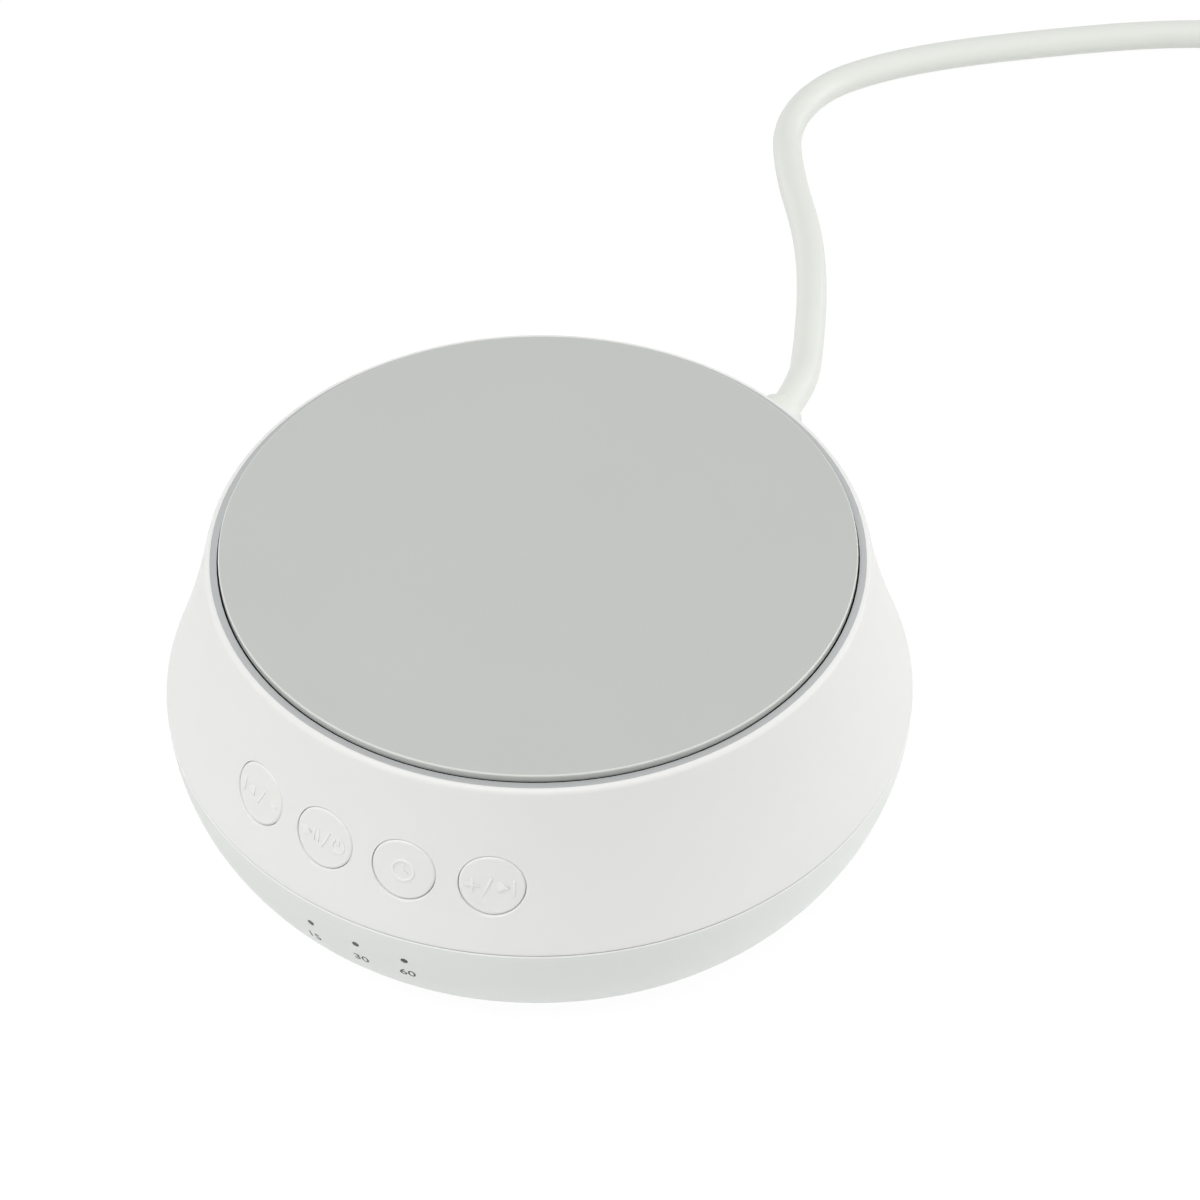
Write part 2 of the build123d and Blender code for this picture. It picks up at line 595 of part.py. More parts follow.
with BuildPart() as speaker_frame:
    with BuildSketch(Plane.XZ):
        with BuildLine():
            Polyline(
                (SPEAKER_OPEN_R, SPEAKER_Z),
                (SPEAKER_R, SPEAKER_Z),
                (SPEAKER_R, SPEAKER_Z + SPEAKER_SHEET),
                (SPEAKER_OPEN_R + SPEAKER_SHEET, SPEAKER_Z + SPEAKER_SHEET),
                (SPEAKER_OPEN_R + SPEAKER_SHEET, BASKET_KNEE + 0.3),
                (MAGNET_R - 0.6, BASKET_TOP + SPEAKER_SHEET),
                (COIL_R[1] + 0.5, BASKET_TOP + SPEAKER_SHEET),
                (COIL_R[1] + 0.5, BASKET_TOP),
                (MAGNET_R - 1.0, BASKET_TOP),
                (SPEAKER_OPEN_R, BASKET_KNEE),
                close=True,
            )
        make_face()
    revolve(axis=Axis.Z)
    with BuildSketch(Plane.XY.offset(SPEAKER_Z)):
        with PolarLocations(SPEAKER_EAR_CIRCLE, 4, CASE_AZIMUTH):
            Circle(SPEAKER_BOSS_R)
        with PolarLocations(SPEAKER_EAR_CIRCLE - 3, 4, CASE_AZIMUTH):
            Rectangle(SPEAKER_EAR_WIDTH, 2 * SPEAKER_BOSS_R)
        with PolarLocations(SPEAKER_EAR_CIRCLE, 4, CASE_AZIMUTH):
            Circle(SPEAKER_SCREW[0] + HOLE_PLAY, mode=Mode.SUBTRACT)
        Circle(SPEAKER_OPEN_R + SPEAKER_SHEET / 2, mode=Mode.SUBTRACT)
    extrude(amount=SPEAKER_SHEET)
    # Windows between the arms of the basket.
    with BuildSketch(Plane.XY.offset(BASKET_KNEE + 0.6)):
        Circle(SPEAKER_R)
        Circle(MAGNET_R + 0.6, mode=Mode.SUBTRACT)
        with PolarLocations(SPEAKER_R / 2, 6):
            Rectangle(SPEAKER_R, BASKET_ARM, mode=Mode.SUBTRACT)
    extrude(amount=BASKET_TOP - BASKET_KNEE - 1.4, mode=Mode.SUBTRACT)
save(speaker_frame, "speaker_frame")


def speaker_ring(name, outer, inner, low, high):
    """A plain round plate or tube on the speaker's axis."""
    with BuildPart() as ring:
        with BuildSketch(Plane.XY.offset(low)):
            Circle(outer)
            Circle(inner, mode=Mode.SUBTRACT)
        extrude(amount=high - low)
    save(ring, name)


speaker_ring("speaker_washer", MAGNET_R - 1.0, COIL_R[1] + 0.3, BASKET_TOP + SPEAKER_SHEET, WASHER_TOP)
speaker_ring("speaker_magnet", MAGNET_R, COIL_R[1] + 2.0, WASHER_TOP, MAGNET_TOP)
speaker_ring("voice_coil", COIL_R[1], COIL_R[0], CONE_TIP_Z, WASHER_TOP - 0.4)
speaker_ring("speaker_spider", MAGNET_R - 3.0, COIL_R[1], BASKET_TOP - PAPER, BASKET_TOP)

with BuildPart() as speaker_yoke:
    with BuildSketch(Plane.XY.offset(MAGNET_TOP)):
        Circle(MAGNET_R - 1.4)
    extrude(amount=YOKE_THICK)
    with BuildSketch(Plane.XY.offset(MAGNET_TOP)):
        Circle(POLE_R)
    extrude(amount=-(MAGNET_TOP - BASKET_TOP - SPEAKER_SHEET))
save(speaker_yoke, "speaker_yoke")

with BuildPart() as speaker_cone:
    with BuildSketch(Plane.XZ):
        with BuildLine():
            Polyline(
                (CONE_R, CONE_RIM_Z),
                (CONE_R, CONE_RIM_Z + PAPER),
                (COIL_R[1] + 0.05, CONE_TIP_Z + PAPER),
                (COIL_R[1] + 0.05, CONE_TIP_Z),
                close=True,
            )
        make_face()
    revolve(axis=Axis.Z)
save(speaker_cone, "speaker_cone")

with BuildPart() as speaker_surround:
    roll_mid = (CONE_R + SPEAKER_OPEN_R) / 2
    with BuildSketch(Plane.XZ):
        with Locations((roll_mid, CONE_RIM_Z)):
            Circle(SPEAKER_OPEN_R - roll_mid)
            Circle(SPEAKER_OPEN_R - roll_mid - SURROUND_THICK, mode=Mode.SUBTRACT)
            Rectangle(CONE_R, 4, align=(Align.CENTER, Align.MIN), mode=Mode.SUBTRACT)
    revolve(axis=Axis.Z)
save(speaker_surround, "speaker_surround")

with BuildPart() as speaker_dust_cap:
    cap_angle = degrees(asin(COIL_R[0] / DUST_CAP_R))
    cap_centre = (0, CONE_TIP_Z + DUST_CAP_R * cos(radians(cap_angle)))
    with BuildSketch(Plane.XZ):
        with BuildLine():
            outer = CenterArc(cap_centre, DUST_CAP_R, -90, cap_angle)
            inner = CenterArc(cap_centre, DUST_CAP_R - PAPER, -90, cap_angle)
            Line(outer @ 1, inner @ 1)
            Line(outer @ 0, inner @ 0)
        make_face()
    revolve(axis=Axis.Z)
save(speaker_dust_cap, "speaker_dust_cap")

# ---- Main board with its switches and parts ------------------------------------------------
with BuildPart() as main_board:
    with BuildSketch(Plane.XY.offset(BOARD_Z)) as outline:
        with BuildLine():
            half = radians(LOBE_HALF_ANGLE)
            far = 2 * LOBE_R
            lobe_left = (-far * sin(half), -far * cos(half))
            lobe_right = (far * sin(half), -far * cos(half))
            Polyline((0, 0), lobe_left, lobe_right, close=True)
        make_face()
        Circle(LOBE_R, mode=Mode.INTERSECT)
        Circle(BOARD_R)
        # Notches where the wires of the lead and of the speaker pass.
        with Locations((0, BOARD_R)):
            Rectangle(NOTCH[0], 2 * NOTCH[1], mode=Mode.SUBTRACT)
        with Locations((-BOARD_R, 0)):
            Rectangle(2 * NOTCH[1], NOTCH[0], mode=Mode.SUBTRACT)
        for azimuth in BOARD_SCREW_AZIMUTHS:
            with Locations(upward(BOARD_SCREW_CIRCLE, azimuth, 0).location):
                Circle(BOARD_SCREW[0] + HOLE_PLAY, mode=Mode.SUBTRACT)
    extrude(amount=BOARD_THICK)
save(main_board, "main_board")

with BuildPart() as tact_switches:
    for azimuth in BUTTON_AZIMUTHS:
        with BuildSketch(radial_plane(azimuth, SWITCH_BACK, BOARD_TOP)):
            Rectangle(SWITCH_WIDTH, SWITCH_HEIGHT, align=(Align.CENTER, Align.MIN))
        extrude(amount=SWITCH_FRONT - SWITCH_BACK)
        with BuildSketch(radial_plane(azimuth, SWITCH_FRONT, BUTTON_Z)):
            Circle(SWITCH_BORE[0])
        extrude(amount=-SWITCH_BORE[1], mode=Mode.SUBTRACT)
save(tact_switches, "tact_switches")


def chip(name, centre, size, legs, leg_pitch):
    """A moulded chip on the board with a row of legs along each long side."""
    with BuildPart() as package:
        with BuildSketch(Plane.XY.offset(BOARD_TOP + 0.2)):
            with Locations(centre):
                Rectangle(size[0], size[1])
        extrude(amount=size[2])
        chamfer(edges().group_by(Axis.Z)[-1], 0.25)
        with BuildSketch(Plane.XY.offset(BOARD_TOP)):
            with Locations(centre):
                with GridLocations(leg_pitch, size[1], legs, 2):
                    Rectangle(leg_pitch / 3, 1.6)
        extrude(amount=0.5)
    save(package, name)


chip("sound_chip", (-4.0, -8.0), (10.0, 6.0, 1.5), 8, 1.27)
chip("amplifier_chip", (12.0, -6.0), (5.0, 4.0, 1.5), 4, 1.27)
chip("memory_chip", (-4.0, 6.0), (5.0, 5.2, 1.6), 4, 1.27)

with BuildPart() as capacitors:
    with BuildSketch(Plane.XY.offset(BOARD_TOP)):
        with Locations((12.0, 6.0), (20.0, 6.0)):
            RectangleRounded(6.6, 6.6, 0.8)
    extrude(amount=1.0)
    with BuildSketch(Plane.XY.offset(BOARD_TOP + 1.0)):
        with Locations((12.0, 6.0), (20.0, 6.0)):
            Circle(3.15)
    extrude(amount=6.5)
    chamfer(edges().group_by(Axis.Z)[-1], 0.4)
save(capacitors, "capacitors")


def wire_socket(name, azimuth):
    """Two-way socket on the board, its mouth towards the rim."""
    with BuildPart() as socket:
        with BuildSketch(radial_plane(azimuth, SOCKET_BACK, BOARD_TOP)):
            Rectangle(SOCKET_WIDTH, SOCKET_HEIGHT, align=(Align.CENTER, Align.MIN))
        extrude(amount=SOCKET_FACE - SOCKET_BACK)
        with BuildSketch(radial_plane(azimuth, SOCKET_FACE, BOARD_TOP + SOCKET_HEIGHT / 2)):
            Rectangle(SOCKET_WIDTH - 2 * SOCKET_WALL, SOCKET_HEIGHT - 2 * SOCKET_WALL)
        extrude(amount=-SOCKET_DEPTH, mode=Mode.SUBTRACT)
    save(socket, name)


def harness(name, azimuth, points):
    """A pair of insulated wires through (radius, height) points in the plane of an azimuth."""
    a = radians(azimuth)
    with BuildPart() as pair:
        for side in (-WIRE_SPREAD, WIRE_SPREAD):
            with BuildLine() as path:
                FilletPolyline(
                    *[(r * cos(a) - side * sin(a), r * sin(a) + side * cos(a), z) for r, z in points],
                    radius=WIRE_BEND,
                )
            with BuildSketch(Plane(origin=path.line @ 0, z_dir=path.line % 0)):
                Circle(WIRE_R)
            sweep(path=path.line)
    save(pair, name)


wire_socket("power_socket", LEAD_AZIMUTH)
wire_socket("speaker_socket", SPEAKER_WIRE_AZIMUTH)
SOCKET_Z = BOARD_TOP + SOCKET_HEIGHT / 2
stub_end = lead_plane(STUB_END).origin
into_socket = [(WIRE_RISE_R, SOCKET_Z), (SOCKET_FACE - WIRE_ENTRY, SOCKET_Z)]
from_lead = [(stub_end.Y, stub_end.Z), (WIRE_RISE_R, stub_end.Z + WIRE_LIFT)]
from_speaker = [(TERMINAL_R, TERMINAL_Z), (WIRE_RISE_R, TERMINAL_Z)]
harness("power_wires", LEAD_AZIMUTH, from_lead + into_socket)
harness("speaker_wires", SPEAKER_WIRE_AZIMUTH, from_speaker + into_socket)

with BuildPart() as speaker_terminal:
    terminal_back = TERMINAL_R - TERMINAL[2]
    with BuildSketch(radial_plane(SPEAKER_WIRE_AZIMUTH, terminal_back, SPEAKER_Z + SPEAKER_SHEET)):
        Rectangle(TERMINAL[0], TERMINAL[1], align=(Align.CENTER, Align.MIN))
    extrude(amount=TERMINAL[2])
save(speaker_terminal, "speaker_terminal")

with BuildPart() as lamp_ribbon:
    with BuildLine() as path:
        FilletPolyline(
            (0, LED_BOARD_FRONT_Y + LED_BOARD[1], LED_BOARD_LOW_Z + RIBBON_RISE),
            (0, RIBBON_Y, LED_BOARD_LOW_Z + RIBBON_RISE),
            (0, RIBBON_Y, BOARD_Z),
            radius=WIRE_BEND,
        )
    with BuildSketch(Plane(origin=path.line @ 0, x_dir=(1, 0, 0), z_dir=path.line % 0)):
        Rectangle(*RIBBON)
    sweep(path=path.line)
save(lamp_ribbon, "lamp_ribbon")

# ---- Screws --------------------------------------------------------------------------------
CLAMP_Z = SADDLE_TOP + CLAMP_GAP
case_seats = [upward(CASE_CIRCLE, a, CASE_HEAD_SEAT) for a in CASE_AZIMUTHS]
board_seats = [upward(BOARD_SCREW_CIRCLE, a, BOARD_Z) for a in BOARD_SCREW_AZIMUTHS]
speaker_seats = [downward(SPEAKER_EAR_CIRCLE, a, SPEAKER_Z + SPEAKER_SHEET) for a in CASE_AZIMUTHS]
clamp_seats = [
    Plane(origin=(x, SADDLE_Y, CLAMP_Z + CLAMP_THICK), x_dir=(1, 0, 0), z_dir=(0, 0, -1))
    for x in (-CLAMP_SCREW_X, CLAMP_SCREW_X)
]
save(screws(case_seats, *CASE_SCREW), "case_screws")
save(screws(board_seats, *BOARD_SCREW), "board_screws")
save(screws(speaker_seats, *SPEAKER_SCREW), "speaker_screws")
save(screws(clamp_seats, *CLAMP_SCREW), "clamp_screws")

with BuildPart() as cable_clamp:
    with BuildSketch(Plane.XY.offset(CLAMP_Z)):
        with Locations((0, SADDLE_Y)):
            RectangleRounded(SADDLE[0], SADDLE[1], CLAMP_ROUND)
        with Locations((-CLAMP_SCREW_X, SADDLE_Y), (CLAMP_SCREW_X, SADDLE_Y)):
            Circle(CLAMP_SCREW[0] + HOLE_PLAY, mode=Mode.SUBTRACT)
    extrude(amount=CLAMP_THICK)
    with BuildSketch(lead_plane(STUB_END + 1)):
        Circle(LEAD_D / 2 + LEAD_PLAY)
    extrude(amount=STUB_END - GLAND_SEAT, mode=Mode.SUBTRACT)
save(cable_clamp, "cable_clamp")

# ---- Strain relief and lead ----------------------------------------------------------------
with BuildPart() as strain_relief:
    with BuildSketch(lead_plane(BOOT_LENGTH)):
        Circle(BOOT_R[0])
    with BuildSketch(lead_plane(0)):
        Circle(BOOT_R[1])
    loft()
    fillet(edges().sort_by(Axis.Y)[-1], BOOT_ROUND)
    with BuildSketch(lead_plane(GLAND_SEAT)):
        Circle(BOOT_R[0])
    extrude(amount=GLAND_SEAT - BOOT_LENGTH)
    with BuildSketch(lead_plane(GLAND_SEAT)):
        Circle(GLAND_FLANGE[0])
    extrude(amount=-GLAND_FLANGE[1])
save(strain_relief, "strain_relief")

with BuildPart() as lead_stub:
    with BuildSketch(lead_plane(GLAND_SEAT + GLAND_FLANGE[1])):
        Circle(LEAD_D / 2)
    extrude(amount=-(STUB_END - GLAND_SEAT - GLAND_FLANGE[1]))
save(lead_stub, "lead_stub")


def cord_tube(name, points):
    """The lead along a route of points, as straight runs joined by tangent arcs."""
    corners = [Vector(*p) for p in points]
    radii = []
    for before, here, after in zip(corners, corners[1:], corners[2:]):
        turn = (here - before).get_angle(after - here)
        shorter = min((here - before).length, (after - here).length)
        radii.append(0.45 * shorter / tan(radians(turn / 2)))
    print(name, "bend radii", [round(r, 1) for r in radii])
    with BuildPart() as tube:
        with BuildLine() as path:
            FilletPolyline(*corners, radius=radii)
        with BuildSketch(Plane(origin=path.line @ 0, z_dir=path.line % 0)):
            Circle(LEAD_D / 2)
        sweep(path=path.line)
    length = sum(edge.length for edge in path.edges())
    section = pi * (LEAD_D / 2) ** 2
    ratio = tube.part.volume / section / length
    print(name, "length", round(length, 1), "volume ratio", round(ratio, 4))
    save(tube, name)


cord_tube("power_cord", ROUTE)
cord_tube("cord_tail", TAIL)


def coil_section(grow):
    """Section of the coiled lead across its turns, grown all round, as (distance, height)."""
    rise = LEAD_D * sin(pi / 3)
    bottom = COIL_LAYERS[0] * LEAD_D / 2
    top = COIL_LAYERS[1] * LEAD_D / 2
    with BuildSketch() as section:
        with BuildLine():
            Polyline(
                (COIL_MID_R - bottom, TIE_THICK),
                (COIL_MID_R + bottom, TIE_THICK),
                (COIL_MID_R + bottom, TIE_THICK + LEAD_D / 2),
                (COIL_MID_R + top, TIE_THICK + LEAD_D + rise),
                (COIL_MID_R - top, TIE_THICK + LEAD_D + rise),
                (COIL_MID_R - bottom, TIE_THICK + LEAD_D / 2),
                close=True,
            )
        make_face()
        if grow:
            offset(amount=grow)
    return section.sketch


COIL_PLANE = Plane(origin=(*COIL_CENTRE, 0), x_dir=(1, 0, 0), z_dir=(0, -1, 0))
COIL_AXIS = Axis((*COIL_CENTRE, 0), (0, 0, 1))
with BuildPart() as cord_coil:
    with BuildSketch(COIL_PLANE):
        add(coil_section(0))
    revolve(axis=COIL_AXIS)
save(cord_coil, "cord_coil")

tie_azimuth = radians(TIE_AZIMUTH)
with BuildPart() as cord_tie:
    across = (cos(tie_azimuth), sin(tie_azimuth), 0)
    along = (sin(tie_azimuth), -cos(tie_azimuth), 0)
    with BuildSketch(Plane(origin=(*COIL_CENTRE, 0), x_dir=across, z_dir=along)):
        add(coil_section(TIE_THICK))
        add(coil_section(0), mode=Mode.SUBTRACT)
    revolve(axis=COIL_AXIS, revolution_arc=degrees(TIE_WIDTH / COIL_MID_R))
save(cord_tie, "cord_tie")

# ---- USB plug ------------------------------------------------------------------------------
PLUG_X, PLUG_Y, PLUG_Z = TAIL[-1]


def plug_plane(along):
    """Plane square to the plug's axis, `along` millimetres from where the lead enters it."""
    return Plane(origin=(PLUG_X, PLUG_Y - along, PLUG_Z), x_dir=(1, 0, 0), z_dir=(0, -1, 0))


PLUG_FACE = PLUG_NECK + PLUG_BODY[1]
with BuildPart() as plug_body:
    with BuildSketch(plug_plane(PLUG_NECK)):
        RectangleRounded(PLUG_BODY[0], PLUG_BODY[2], PLUG_CORNER)
    extrude(amount=PLUG_BODY[1])
    fillet(edges().filter_by(Plane.XZ), PLUG_EDGE)
    with BuildSketch(plug_plane(-PLUG_NECK_OVER)):
        Circle(PLUG_NECK_R[0])
    with BuildSketch(plug_plane(PLUG_NECK)):
        Circle(PLUG_NECK_R[1])
    loft()
save(plug_body, "plug_body")

with BuildPart() as plug_shell:
    with BuildSketch(plug_plane(PLUG_FACE)):
        RectangleRounded(PLUG_SHELL[0], PLUG_SHELL[2], 2 * PLUG_SHEET)
        inside = (PLUG_SHELL[0] - 2 * PLUG_SHEET, PLUG_SHELL[2] - 2 * PLUG_SHEET)
        RectangleRounded(*inside, PLUG_SHEET, mode=Mode.SUBTRACT)
    extrude(amount=PLUG_SHELL[1])
    # Latch windows in both flat faces.
    with BuildSketch(Plane.XY.offset(PLUG_Z - PLUG_SHELL[2])):
        with Locations((PLUG_X, PLUG_Y - PLUG_FACE - PLUG_WINDOW[2])):
            with GridLocations(PLUG_WINDOW[1], 1, 2, 1):
                Rectangle(PLUG_WINDOW[0], PLUG_WINDOW[0])
    extrude(amount=2 * PLUG_SHELL[2], mode=Mode.SUBTRACT)
save(plug_shell, "plug_shell")

with BuildPart() as plug_insert:
    with BuildSketch(plug_plane(PLUG_FACE)):
        with Locations((0, PLUG_SHELL[2] / 2 - PLUG_SHEET)):
            Rectangle(PLUG_TONGUE[0], PLUG_TONGUE[2], align=(Align.CENTER, Align.MAX))
    extrude(amount=PLUG_TONGUE[1])
save(plug_insert, "plug_insert")
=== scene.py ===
"""Looks of the white noise sound machine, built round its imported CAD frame.

Objects are in metres, in the CAD frame: +Z up, -Y the front with the buttons, the origin on the
table under the middle of the body. Lengths below are in millimetres where nothing else is said,
and azimuths are in degrees from +X, anticlockwise from above.
"""

import json
from math import asin, cos, hypot, pi, radians, sin

import bpy
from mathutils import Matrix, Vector


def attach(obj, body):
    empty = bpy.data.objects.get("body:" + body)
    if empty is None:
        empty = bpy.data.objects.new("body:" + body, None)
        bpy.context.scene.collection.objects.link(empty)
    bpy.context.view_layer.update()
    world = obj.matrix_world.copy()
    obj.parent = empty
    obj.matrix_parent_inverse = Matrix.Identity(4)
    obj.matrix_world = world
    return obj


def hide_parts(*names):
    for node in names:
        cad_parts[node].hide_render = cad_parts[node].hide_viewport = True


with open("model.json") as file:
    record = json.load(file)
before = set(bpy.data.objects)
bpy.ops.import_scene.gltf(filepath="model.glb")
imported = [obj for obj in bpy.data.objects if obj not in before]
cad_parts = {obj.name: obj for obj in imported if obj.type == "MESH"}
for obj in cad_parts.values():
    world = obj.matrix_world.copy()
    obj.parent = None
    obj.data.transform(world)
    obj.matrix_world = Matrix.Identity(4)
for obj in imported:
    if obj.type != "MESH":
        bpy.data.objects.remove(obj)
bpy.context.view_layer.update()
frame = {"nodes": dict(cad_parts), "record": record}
MM = 0.001


def add_object(name, data):
    """A new object in the scene."""
    made = bpy.data.objects.new(name, data)
    bpy.context.scene.collection.objects.link(made)
    return made


# ---- Camera --------------------------------------------------------------------------------
CAMERA_PLACE = (0.17266, -0.31539, 0.38274)  # metres
CAMERA_AZIMUTH = 27.35  # degrees from the front, towards +X
CAMERA_ELEVATION = 44.13
CAMERA_ROLL = 0.17
CAMERA_LENS = 108.0
CAMERA_SENSOR = 36.0


def make_camera():
    """The camera at the photograph's place, azimuth and elevation."""
    data = bpy.data.cameras.new("camera")
    data.lens = CAMERA_LENS
    data.sensor_width = CAMERA_SENSOR
    camera = add_object("camera", data)
    camera.location = CAMERA_PLACE
    camera.rotation_euler = (radians(90 - CAMERA_ELEVATION), 0, radians(CAMERA_AZIMUTH))
    bpy.context.scene.camera = camera
    bpy.context.view_layer.update()
    camera.rotation_euler.rotate_axis("Z", radians(CAMERA_ROLL))


make_camera()

# ---- Lead ----------------------------------------------------------------------------------
LEAD_D = 5.0
LEAD_EXIT = (0.0, 81.1, 5.79)
LEAD_ROUTE = [  # along the table, as the photograph shows it, and on to the coil
    LEAD_EXIT,
    (-0.6, 90.4, 4.4),
    (-4.3, 100.5, 2.55),
    (-10.0, 114.5, 2.5),
    (-17.1, 128.0, 2.5),
    (-27.2, 141.7, 2.5),
    (-33.7, 153.9, 2.5),
    (-33.1, 166.8, 2.5),
    (-26.4, 177.3, 2.5),
    (-15.9, 187.8, 2.5),
    (-1.0, 199.5, 2.5),
    (14.5, 210.5, 2.5),
    (31.5, 219.0, 2.6),
    (48.5, 224.0, 3.0),
    (64.4, 226.0, 3.1),
]
LEAD_TAIL = [  # from the coil to the plug
    (100.0, 194.0, 7.43),
    (100.0, 182.0, 8.4),
    (100.4, 171.0, 6.4),
    (99.6, 160.0, 3.4),
    (98.6, 149.0, 4.0),
]
LEAD_STEPS = 8  # facets from one control point to the next
LEAD_BEVEL_RESOLUTION = 10
COIL_CENTRE = (70.0, 194.0)
COIL_TURNS = [(32.5, 3.1), (27.5, 3.1), (22.5, 3.1), (25.0, 7.43), (30.0, 7.43)]  # radius, height
COIL_START = 100.0  # azimuth where the lead joins the outer turn
COIL_END = 0.0  # azimuth where it leaves the last turn
TURN_POINTS = 24
TURN_SHIFT = 60.0  # the lead moves over to the next turn within these degrees
TURN_HUMP = 0.8  # the lead rises this much over the upper turns as it climbs to them


def eased(share):
    """A share from 0 to 1 that starts and ends gently, and is held beyond them."""
    share = min(1.0, max(0.0, share))
    return share * share * (3 - 2 * share)


def coil_points():
    """Control points of the coil's turns, clockwise from above, each on the one after the last."""
    step = 360.0 / TURN_POINTS
    reach = 1 / cos(pi / TURN_POINTS)
    last = (len(COIL_TURNS) - 1) * 360 + (COIL_START - COIL_END)
    points = []
    swept = step
    while swept < last - step / 2:
        turn, into = divmod(swept, 360)
        turn = int(turn)
        radius, height = COIL_TURNS[turn]
        if turn + 1 < len(COIL_TURNS):
            next_radius, next_height = COIL_TURNS[turn + 1]
            radius += (next_radius - radius) * eased((into - 360 + TURN_SHIFT) / TURN_SHIFT)
            if next_height > height:
                climb = eased((into - 360 + 2 * TURN_SHIFT) / TURN_SHIFT)
                height += (next_height + TURN_HUMP - height) * climb
        a = radians(COIL_START - swept)
        x = COIL_CENTRE[0] + radius * reach * cos(a)
        y = COIL_CENTRE[1] + radius * reach * sin(a)
        points.append((x, y, height))
        swept += step
    return points


def make_lead():
    """The whole lead as one open spline, from the strain relief to the plug."""
    points = LEAD_ROUTE + coil_points() + LEAD_TAIL
    curve = bpy.data.curves.new("lead", "CURVE")
    curve.dimensions = "3D"
    curve.resolution_u = LEAD_STEPS
    curve.bevel_depth = 1.0  # times the radius of each control point
    curve.bevel_resolution = LEAD_BEVEL_RESOLUTION
    curve.use_fill_caps = True
    spline = curve.splines.new("NURBS")
    spline.points.add(len(points) - 1)
    for knot, (x, y, z) in zip(spline.points, points):
        knot.co = (x * MM, y * MM, z * MM, 1.0)
        knot.radius = LEAD_D / 2 * MM
    spline.order_u = 3
    spline.use_endpoint_u = True
    return add_object("lead", curve)


lead = make_lead()
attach(lead, "body")
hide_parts("power_cord", "cord_coil", "cord_tail")

# ---- Materials -----------------------------------------------------------------------------
# A surface's socket: kind of the Mix node for it, and the numbers of that node's two inputs and
# of its output.
MIXES = {"Base Color": ("RGBA", 6, 7, 2), "Roughness": ("FLOAT", 2, 3, 0)}
NOISE_SPAN = (0.3, 0.7)  # nearly all of a noise's values lie here
PATCH_DETAIL = 3.0
GLOSS_TOP = 0.005  # a rounding's gloss begins this far under the flat face above it
GLOSS_FULL = 0.04  # and is full this far under it
HIGHLIGHT_RIM_TOP = 0.004  # a rim's painted highlight begins this far under the face above it
HIGHLIGHT_RIM_FADE = 0.3  # and fades out below this share of its depth


def srgb(*values):
    """A colour given as 0 to 255 display values, in scene-linear light."""
    shares = [value / 255 for value in values]
    return (*(((c + 0.055) / 1.055) ** 2.4 if c > 0.04045 else c / 12.92 for c in shares), 1.0)


def add_node(tree, kind, inputs=(), **settings):
    """A new node with its settings; inputs gives sockets a value or an output to link."""
    made = tree.nodes.new(kind)
    for key, value in settings.items():
        setattr(made, key, value)
    for socket, value in dict(inputs).items():
        if isinstance(value, bpy.types.NodeSocket):
            tree.links.new(value, made.inputs[socket])
        else:
            made.inputs[socket].default_value = value
    return made


